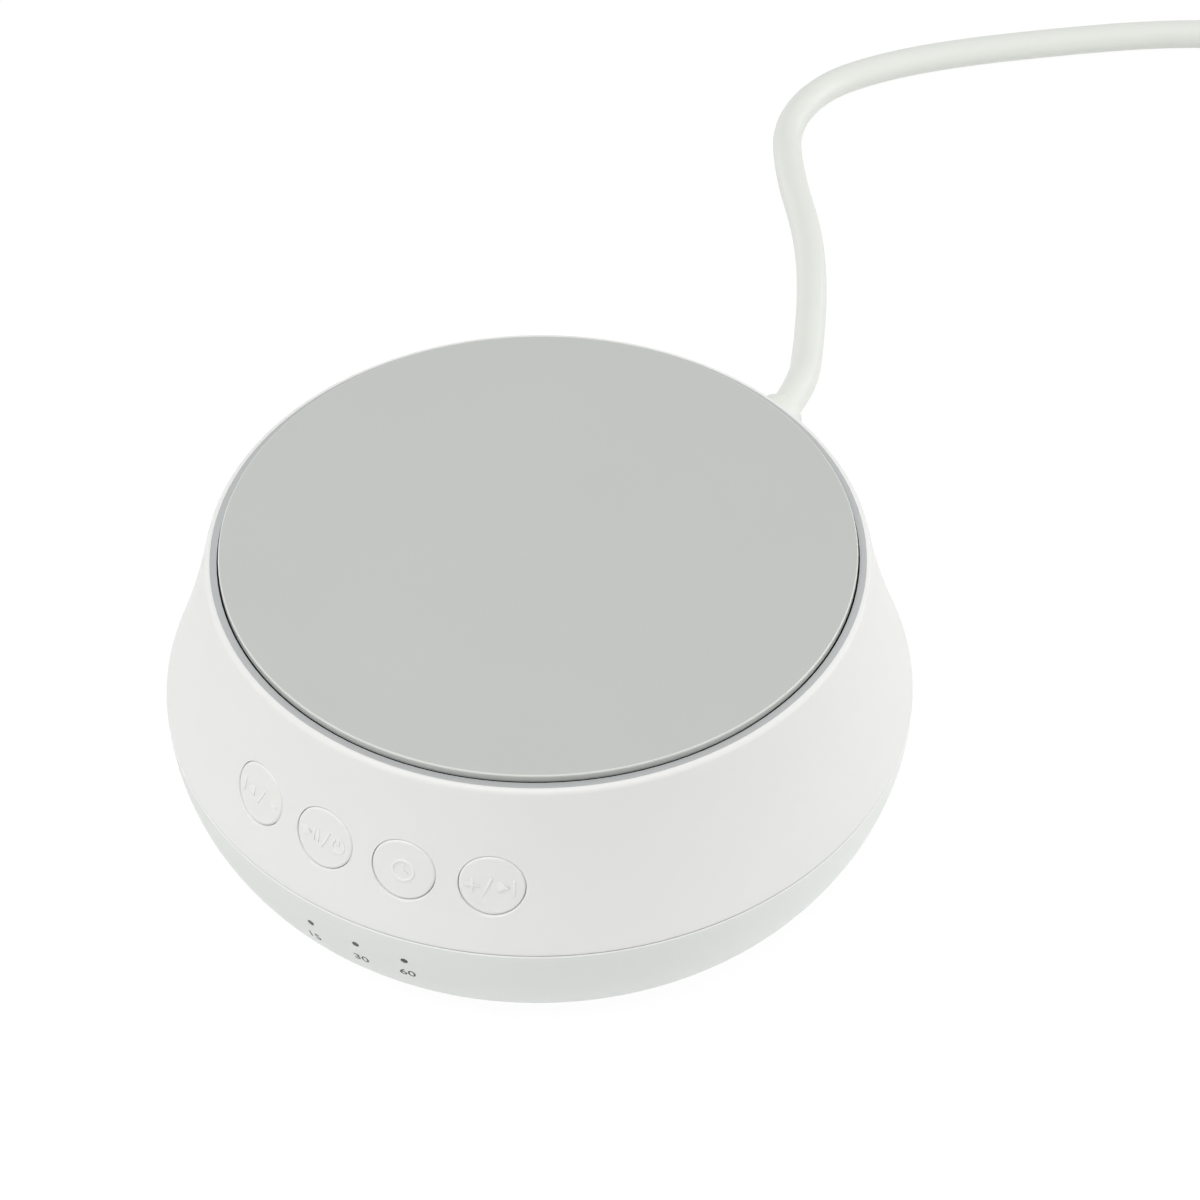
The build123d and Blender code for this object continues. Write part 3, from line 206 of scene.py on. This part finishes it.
class Shader:
    """A principled material whose grain, mottle and roughness come from procedural nodes."""

    def __init__(self, name, colour, roughness, metallic=0.0, specular=0.5):
        self.material = bpy.data.materials.new(name)
        self.material.use_nodes = True
        self.tree = self.material.node_tree
        self.surface = self.tree.nodes["Principled BSDF"]
        self.surface.inputs["Base Color"].default_value = colour
        self.surface.inputs["Roughness"].default_value = roughness
        self.surface.inputs["Metallic"].default_value = metallic
        self.surface.inputs["Specular IOR Level"].default_value = specular
        self.colour = colour
        self.roughness = roughness
        self.place = add_node(self.tree, "ShaderNodeTexCoord").outputs["Object"]
        self.bumps = None

    def link(self, output, socket):
        """Gives a socket of the surface an output."""
        self.tree.links.new(output, self.surface.inputs[socket])

    def noise(self, period_mm, detail=2.0):
        """Noise whose blobs are about period_mm across, as a 0 to 1 output."""
        inputs = {"Scale": 1 / (period_mm * MM), "Detail": detail, "Vector": self.place}
        return add_node(self.tree, "ShaderNodeTexNoise", inputs).outputs["Fac"]

    def height(self):
        """The height over the table, in metres, as an output."""
        return add_node(self.tree, "ShaderNodeSeparateXYZ", {"Vector": self.place}).outputs["Z"]

    def ramp(self, value, start, end, low=0.0, high=1.0):
        """An output that goes from low to high as a value goes from start to end."""
        inputs = {"Value": value, "From Min": start, "From Max": end, "To Min": low, "To Max": high}
        return add_node(self.tree, "ShaderNodeMapRange", inputs).outputs["Result"]

    def math(self, operation, first, second):
        """An output worked out of two values or outputs."""
        inputs = {0: first, 1: second}
        return add_node(self.tree, "ShaderNodeMath", inputs, operation=operation).outputs[0]

    def cover(self, socket, value, share):
        """Lays a value over what the surface has at a socket, by a share from 0 to 1."""
        kind, under, over, result = MIXES[socket]
        before = self.surface.inputs[socket].links[0].from_socket
        inputs = {"Factor": share, under: before, over: value}
        mix = add_node(self.tree, "ShaderNodeMix", inputs, data_type=kind)
        self.link(mix.outputs[result], socket)
        return self

    def mottle(self, period_mm, amount, detail=PATCH_DETAIL):
        """Lightens and darkens the base colour a little in soft patches."""
        kind, first, second, result = MIXES["Base Color"]
        patches = self.ramp(self.noise(period_mm, detail), *NOISE_SPAN, 1 - amount, 1 + amount)
        inputs = {"Factor": 1.0, first: self.colour, second: patches}
        mix = add_node(self.tree, "ShaderNodeMix", inputs, data_type=kind, blend_type="MULTIPLY")
        self.link(mix.outputs[result], "Base Color")
        return self

    def sheen_patches(self, period_mm, amount):
        """Varies the roughness in soft patches."""
        ends = (self.roughness - amount, self.roughness + amount)
        self.link(self.ramp(self.noise(period_mm, PATCH_DETAIL), 0, 1, *ends), "Roughness")
        return self

    def grain(self, period_mm, depth_mm, strength):
        """A bump of fine grain; further calls add to it."""
        inputs = {
            "Strength": strength,
            "Distance": depth_mm * MM,
            "Height": self.noise(period_mm),
        }
        if self.bumps is not None:
            inputs["Normal"] = self.bumps
        self.bumps = add_node(self.tree, "ShaderNodeBump", inputs).outputs["Normal"]
        self.link(self.bumps, "Normal")
        return self

    def rounding_gloss(self, top_mm, roughness):
        """Another roughness on everything under a flat top face."""
        ends = ((top_mm - GLOSS_FULL) * MM, (top_mm - GLOSS_TOP) * MM)
        return self.cover("Roughness", roughness, self.ramp(self.height(), *ends, 1, 0))

    def painted_gap_shade(self, side, height_mm, colour):
        """Painted shade: a darker colour on one side of a height, LESS_THAN or GREATER_THAN it, as
        in a gap.
        """
        return self.cover("Base Color", colour, self.math(side, self.height(), height_mm * MM))

    def painted_rim_highlight(self, top_mm, depth_mm, colour):
        """A painted highlight: a paler colour on the rounding under an edge, fading out downwards.
        """
        ends = ((top_mm - depth_mm) * MM, (top_mm - depth_mm * HIGHLIGHT_RIM_FADE) * MM)
        under = self.math("LESS_THAN", self.height(), (top_mm - HIGHLIGHT_RIM_TOP) * MM)
        share = self.math("MULTIPLY", self.ramp(self.height(), *ends), under)
        return self.cover("Base Color", colour, share)


def moulded(name, colour, roughness=0.45, mottle=0.004):
    """The shader of moulded plastic with the fine spark grain of its tool."""
    made = Shader(name, colour, roughness)
    made.mottle(9.0, mottle).sheen_patches(4.0, 0.05)
    return made.grain(0.28, 0.012, 0.35).grain(2.5, 0.01, 0.15)


def plastic(name, colour, *finish):
    """Moulded plastic, plain."""
    return moulded(name, colour, *finish).material


def metal(name, colour, roughness):
    """Plated or painted metal, lightly brushed by handling."""
    made = Shader(name, colour, roughness, metallic=1.0)
    made.mottle(3.0, 0.04).sheen_patches(1.5, 0.08).grain(0.4, 0.004, 0.4)
    return made.material


def soft(name, colour, roughness, period_mm, depth_mm):
    """Rubber, foam, cloth and paper: matte, with a coarser tooth."""
    made = Shader(name, colour, roughness, specular=0.35)
    made.mottle(5.0, 0.03).grain(period_mm, depth_mm, 0.5)
    return made.material


def jacket(name, colour):
    """Extruded lead jacket: smooth and even, with a faint tooth and a soft sheen."""
    made = Shader(name, colour, 0.42)
    made.mottle(6.0, 0.004, 2.0).sheen_patches(8.0, 0.03).grain(0.3, 0.006, 0.3)
    return made.material


PLATE_TOP = 45.05
PAINTED_GAP_SHADE_Z = 43.9  # painted shade on the ring and on the plate begins under this height, inside the gap between them
SEAM_SHADE_Z = 19.8  # the base shell's rounded edge goes into the seam above this; painted shade above it, a painted highlight under it


def satin_paint(name, colour):
    """Silver paint: fine flakes under a satin coat, with near-black painted shade on the ring's
    wall inside the gap.
    """
    made = Shader(name, colour, 0.38, metallic=0.3)
    made.mottle(0.25, 0.03, 1.0).sheen_patches(2.0, 0.05).grain(0.2, 0.004, 0.3)
    # painted shade: the ring's wall inside the gap is near-black
    made.painted_gap_shade("LESS_THAN", PAINTED_GAP_SHADE_Z, srgb(18, 18, 18))
    return made.material


def soft_touch(name, colour):
    """The grey top plate: an even matte film with a very fine tooth, a smooth edge with a painted
    highlight, and near-black painted shade inside the gap under it.
    """
    made = Shader(name, colour, 0.62, specular=0.4)
    made.mottle(22.0, 0.006, 2.0).sheen_patches(12.0, 0.04)
    made.grain(0.22, 0.01, 0.3).grain(6.0, 0.01, 0.1)
    # painted shade: the plate's side inside the gap is near-black
    made.painted_gap_shade("LESS_THAN", PAINTED_GAP_SHADE_Z, srgb(24, 25, 23))
    # painted highlight: a paler colour on the plate's rounded edge
    made.rounding_gloss(PLATE_TOP, 0.22).painted_rim_highlight(PLATE_TOP, 0.4, srgb(224, 226, 220))
    return made.material


def base_moulding(name, colour):
    """The base shell's plastic, with a painted highlight on its rounded edge and painted shade
    inside the seam.
    """
    made = moulded(name, colour)
    # painted highlight: a paler colour on the base's rounded top edge
    made.painted_rim_highlight(SEAM_SHADE_Z, 0.32, srgb(253, 254, 253))
    # painted shade: a darker colour inside the seam
    made.painted_gap_shade("GREATER_THAN", SEAM_SHADE_Z, srgb(212, 213, 211))
    return made.material


# Each slot's kind of finish, its colour in display values, and what else that kind takes.
FINISHES = {
    "white_plastic": (plastic, (240, 240, 238)),
    "button_plastic": (plastic, (240, 240, 237)),
    "base_plastic": (base_moulding, (236, 239, 236)),
    "silver_trim": (satin_paint, (188, 190, 191)),
    "grey_plate": (soft_touch, (197, 199, 196)),
    "black_plastic": (plastic, (38, 38, 40), 0.5, 0.05),
    "circuit_board": (plastic, (34, 96, 60), 0.35, 0.08),
    "switch_housing": (plastic, (44, 44, 46), 0.3, 0.05),
    "bare_aluminium": (metal, (205, 206, 210), 0.3),
    "nylon": (plastic, (228, 226, 214), 0.35, 0.02),
    "led_resin": (plastic, (236, 216, 150), 0.2, 0.04),
    "smoked_acrylic": (plastic, (26, 30, 26), 0.18, 0.04),
    "wire_insulation": (plastic, (190, 34, 30), 0.4, 0.03),
    "foam": (soft, (48, 48, 50), 0.9, 0.4, 0.08),
    "plated_steel": (metal, (190, 192, 196), 0.35),
    "ferrite": (soft, (64, 64, 68), 0.6, 0.3, 0.02),
    "cone_paper": (soft, (52, 50, 50), 0.85, 0.35, 0.05),
    "surround_rubber": (soft, (36, 36, 38), 0.6, 0.6, 0.01),
    "spider_cloth": (soft, (190, 150, 96), 0.85, 0.5, 0.08),
    "copper": (metal, (196, 120, 80), 0.35),
    "phenolic": (plastic, (124, 84, 50), 0.5, 0.06),
    "screw_steel": (metal, (176, 178, 182), 0.35),
    "foot_rubber": (soft, (196, 198, 196), 0.7, 0.4, 0.02),
    "cord_jacket": (jacket, (234, 236, 230)),
    "tie_strap": (soft, (226, 227, 225), 0.6, 0.6, 0.03),
    "plug_metal": (metal, (206, 208, 212), 0.22),
    "plug_tongue": (plastic, (238, 238, 238), 0.4),
}
SLOT_MATERIALS = {
    slot: kind(slot, srgb(*colour), *finish) for slot, (kind, colour, *finish) in FINISHES.items()
}
INK = plastic("grey_ink", srgb(60, 62, 60), 0.55, 0.02)
# painted highlight: the raised signs get a paler copy of the cap plastic
SIGN_HIGHLIGHT_PLASTIC = plastic("sign_plastic_painted_highlight", srgb(244, 244, 242), 0.42)


def dress(piece, material):
    """Gives a piece one material."""
    piece.data.materials.clear()
    piece.data.materials.append(material)


for part in frame["record"]["subparts"]:
    dress(frame["nodes"][part["node"]], SLOT_MATERIALS[part["material_slot"]])
dress(lead, SLOT_MATERIALS["cord_jacket"])

# ---- Signs on the caps and numerals under the lamps ------------------------------------------
# The wall and the side of the base are arcs in the (radius, height) plane.
WALL_CENTRE = (193.42, 75.17)
WALL_R = 151.0
CAP_LEAN = 1.3  # a cap's face leans out at its top, in degrees
BASE_CENTRE = (26.5, 19.7)
BASE_R = 26.3
FRONT = 270.0  # azimuth
BUTTON_PITCH = 13.96  # degrees from one button to the next
BUTTON_Z = 29.65
SIGN_LINE = 0.28  # width of the signs' line
SLASH_REACH = (0.5, 1.25)  # right and up from the middle of a slash to its end
BAR_REACH = 0.9
SKIP_BAR_REACH = 1.1
ARROW_REACH = 0.8
ARC_STEPS = 24
RING_STEPS = 36
SIGN_THICK = 0.22
SIGN_EDGE = 0.03
SIGN_BEVEL_RESOLUTION = 2
SIGN_RISE = 0.15  # height over the cap
NUMERAL_Z = 11.2
NUMERAL_PITCH = 7.9  # degrees from one lamp to the next
NUMERAL_SIZE = 2.42
NUMERALS = {"15": (-0.39, 0.0), "30": (0.17, -0.02), "60": (0.03, 0.34)}  # shift right and up
INK_THICK = 0.03
INK_SPREAD = 0.006


def turned(azimuth, x, radius, height):
    """A point at a radius and height, x millimetres round from an azimuth, in metres."""
    a = radians(azimuth) + x / radius
    return Vector((radius * cos(a), radius * sin(a), height)) * MM


def on_cap(azimuth, x, y, z):
    """A point on a cap: x to the right, y up the wall and z out of it, from the cap's middle."""
    angle = asin((WALL_CENTRE[1] - BUTTON_Z) / WALL_R) - y / WALL_R
    reach = WALL_R - z - y * sin(radians(CAP_LEAN))
    radius = WALL_CENTRE[0] - reach * cos(angle)
    return turned(azimuth, x, radius, WALL_CENTRE[1] - reach * sin(angle))


def on_base(azimuth, x, y, z):
    """A point on the side of the base, in the same sense."""
    angle = asin((BASE_CENTRE[1] - NUMERAL_Z) / BASE_R) - y / BASE_R
    reach = BASE_R + z
    radius = BASE_CENTRE[0] + reach * cos(angle)
    return turned(azimuth, x, radius, BASE_CENTRE[1] - reach * sin(angle))


def arc(centre, radius, start, end, count=ARC_STEPS):
    """Points along a circular arc, from one angle to another."""
    angles = [radians(start + (end - start) * i / count) for i in range(count + 1)]
    return [(centre[0] + radius * cos(a), centre[1] + radius * sin(a)) for a in angles]


def stroke(points):
    """Outline of the signs' line along points, with square ends."""
    left, right = [], []
    for i, (x, y) in enumerate(points):
        ahead = points[min(i + 1, len(points) - 1)]
        behind = points[max(i - 1, 0)]
        across = [0.0, 0.0]
        for a, b in ((behind, (x, y)), ((x, y), ahead)):
            run = hypot(b[0] - a[0], b[1] - a[1])
            if run:
                across[0] -= (b[1] - a[1]) / run
                across[1] += (b[0] - a[0]) / run
        size = across[0] ** 2 + across[1] ** 2
        ends = 1 if i in (0, len(points) - 1) else 2
        nx, ny = (c * ends * SIGN_LINE / 2 / size for c in across)
        left.append((x + nx, y + ny))
        right.append((x - nx, y - ny))
    return left + right[::-1]


def ring(centre, radius):
    """The two outlines of a circle drawn with the signs' line."""
    half = SIGN_LINE / 2
    last = 360 - 360 / RING_STEPS
    return [arc(centre, radius + side * half, 0, last, RING_STEPS - 1) for side in (-1, 1)]


def plus(centre, reach):
    """Outline of a plus."""
    cx, cy = centre
    half = SIGN_LINE / 2
    corner = [(half, half), (half, reach), (-half, reach)]
    points = []
    for quarter in range(4):
        c, s = cos(pi / 2 * quarter), sin(pi / 2 * quarter)
        points += [(cx + x * c - y * s, cy + x * s + y * c) for x, y in corner]
    return points


def slash(x):
    """Outline of a slash whose middle is at x."""
    across, up = SLASH_REACH
    return stroke([(x - across, -up), (x + across, up)])


def bar(x, reach=BAR_REACH):
    """Outline of an upright bar at x."""
    return stroke([(x, -reach), (x, reach)])


def arrow(x, tip):
    """Outline of a solid triangle from x to its tip."""
    return [(x, -ARROW_REACH), (x, ARROW_REACH), (tip, 0.0)]


# Outlines of the signs, from the middle of each cap, left to right over the front.
SIGNS = {
    "button_minus": [
        bar(-2.95, SKIP_BAR_REACH),
        arrow(-0.85, -2.5),
        slash(0.55),
        stroke([(1.65, 0), (3.55, 0)]),
    ],
    "button_play": [
        arrow(-3.4, -2.0),
        bar(-1.55),
        bar(-0.85),
        slash(0.35),
        stroke(arc((2.4, -0.1), 0.95, 125, 415)),
        stroke([(2.4, 0.1), (2.4, 1.25)]),
    ],
    "button_timer": ring((0, 0), 1.5) + [stroke([(0, 1.0), (0, 0), (0.75, -0.45)])],
    "button_plus": [
        plus((-2.6, 0), 1.0),
        slash(-0.55),
        arrow(0.75, 2.4),
        bar(2.95, SKIP_BAR_REACH),
    ],
}


def wrapped(name, flat, place, lift):
    """A mesh piece made from a flat curve or text, in millimetres, laid on the body's skin."""
    stencil = add_object(name, flat)
    bpy.context.view_layer.update()
    mesh = bpy.data.meshes.new_from_object(stencil)
    bpy.data.objects.remove(stencil)
    for vertex in mesh.vertices:
        x, y, z = vertex.co
        vertex.co = place(x, y, z + lift)
    return add_object(name, mesh)


def make_sign(button, azimuth, outlines):
    """The raised sign of one button."""
    flat = bpy.data.curves.new(button + "_sign", "CURVE")
    flat.dimensions = "2D"
    flat.fill_mode = "BOTH"
    flat.extrude = SIGN_THICK / 2 - SIGN_EDGE
    flat.bevel_depth = SIGN_EDGE
    flat.bevel_resolution = SIGN_BEVEL_RESOLUTION
    flat.offset = -SIGN_EDGE
    for outline in outlines:
        spline = flat.splines.new("POLY")
        spline.points.add(len(outline) - 1)
        for knot, (x, y) in zip(spline.points, outline):
            knot.co = (x, y, 0, 1)
        spline.use_cyclic_u = True
    lift = SIGN_RISE - SIGN_THICK / 2
    sign = wrapped(button + "_sign", flat, lambda x, y, z: on_cap(azimuth, x, y, z), lift)
    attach(sign, button + "_body")
    dress(sign, SIGN_HIGHLIGHT_PLASTIC)


def make_numeral(digits, azimuth, right, up):
    """Printed minutes under one lamp, moved by millimetres to the right and up."""
    text = bpy.data.curves.new("numeral_" + digits, "FONT")
    text.body = digits
    text.size = NUMERAL_SIZE
    text.align_x = "CENTER"
    text.align_y = "CENTER"
    text.extrude = INK_THICK / 2
    text.offset = INK_SPREAD
    numeral = wrapped(
        "numeral_" + digits, text, lambda x, y, z: on_base(azimuth, x + right, y + up, z), 0
    )
    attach(numeral, "body")
    dress(numeral, INK)


def row(count, pitch):
    """Azimuths of a row over the front, from left to right."""
    return [FRONT + (i - (count - 1) / 2) * pitch for i in range(count)]


for azimuth, (button, outlines) in zip(row(len(SIGNS), BUTTON_PITCH), SIGNS.items()):
    make_sign(button, azimuth, outlines)
for azimuth, (digits, shift) in zip(row(len(NUMERALS), NUMERAL_PITCH), NUMERALS.items()):
    make_numeral(digits, azimuth, *shift)

# ---- Stage ---------------------------------------------------------------------------------
WHITE = (1, 1, 1, 1)
WORLD_LIGHT = 0.4
FLOOR_SIZE = 3.0  # metres
FLOOR_COLOUR = (0.9, 0.9, 0.9, 1)
FLOOR_GLOW = 0.9  # share of the floor that is plain white to the camera
FLOOR_GLOW_LIGHT = 1.05
VIEW = FRONT + CAMERA_AZIMUTH  # azimuth from the body towards the camera
# Each lamp's azimuth from the view, its elevation, its distance and size in metres, and the
# share of white that it adds square on.
LAMPS = {
    "top_box": (0, 75, 1.2, 0.6, 0.205),
    "left_box": (-60, 60, 1.2, 0.6, 0.335),
    "right_box": (100, 15, 1.0, 0.5, 0.29),
    "front_box": (60, 15, 1.0, 0.5, 0.045),
    "left_low": (-72, 4, 1.0, 0.5, 0.065),
    "left_edge": (-135, 5, 1.0, 0.1, 0.03),
    "right_edge": (135, 5, 1.0, 0.1, 0.03),
}


def show_to_camera(tree, output, seen, lighting):
    """Shows one shader to the camera, mirrors and glass, and another to the light."""
    rays = add_node(tree, "ShaderNodeLightPath").outputs
    share = rays["Is Camera Ray"]
    for ray in ("Is Glossy Ray", "Is Transmission Ray"):
        inputs = {0: share, 1: rays[ray]}
        share = add_node(tree, "ShaderNodeMath", inputs, operation="MAXIMUM").outputs[0]
    mix = add_node(tree, "ShaderNodeMixShader", {0: share, 1: lighting, 2: seen})
    add_node(tree, output, {"Surface": mix.outputs[0]})


def make_world():
    """An even pale surround, white where the camera sees it."""
    world = bpy.data.worlds.new("studio")
    bpy.context.scene.world = world
    world.use_nodes = True
    tree = world.node_tree
    tree.nodes.clear()
    seen, lighting = (
        add_node(tree, "ShaderNodeBackground", {"Strength": light, "Color": WHITE}).outputs[0]
        for light in (1.0, WORLD_LIGHT)
    )
    show_to_camera(tree, "ShaderNodeOutputWorld", seen, lighting)


def make_floor():
    """A white table that keeps a faint shadow."""
    mesh = bpy.data.meshes.new("floor")
    half = FLOOR_SIZE / 2
    corners = [(-half, -half, 0), (half, -half, 0), (half, half, 0), (-half, half, 0)]
    mesh.from_pydata(corners, [], [(0, 1, 2, 3)])
    floor = add_object("floor", mesh)
    material = bpy.data.materials.new("floor")
    material.use_nodes = True
    tree = material.node_tree
    tree.nodes.clear()
    matte = add_node(tree, "ShaderNodeBsdfDiffuse", {"Color": FLOOR_COLOUR}).outputs[0]
    glow = add_node(tree, "ShaderNodeEmission", {"Strength": FLOOR_GLOW_LIGHT}).outputs[0]
    seen = add_node(tree, "ShaderNodeMixShader", {0: FLOOR_GLOW, 1: matte, 2: glow}).outputs[0]
    show_to_camera(tree, "ShaderNodeOutputMaterial", seen, matte)
    mesh.materials.append(material)


def soft_box(name, azimuth, elevation, distance, size, level):
    """A square area lamp aimed at the body."""
    data = bpy.data.lights.new(name, "AREA")
    data.size = size
    data.energy = level * pi * pi * distance**2
    lamp = add_object(name, data)
    a, e = radians(azimuth), radians(elevation)
    toward = Vector((cos(a) * cos(e), sin(a) * cos(e), sin(e)))
    lamp.location = toward * distance
    lamp.rotation_mode = "QUATERNION"
    lamp.rotation_quaternion = toward.to_track_quat("Z", "Y")
    lamp.visible_camera = False


make_world()
make_floor()
for name, (azimuth, *rest) in LAMPS.items():
    soft_box(name, VIEW + azimuth, *rest)

bpy.context.scene.view_settings.view_transform = "Standard"
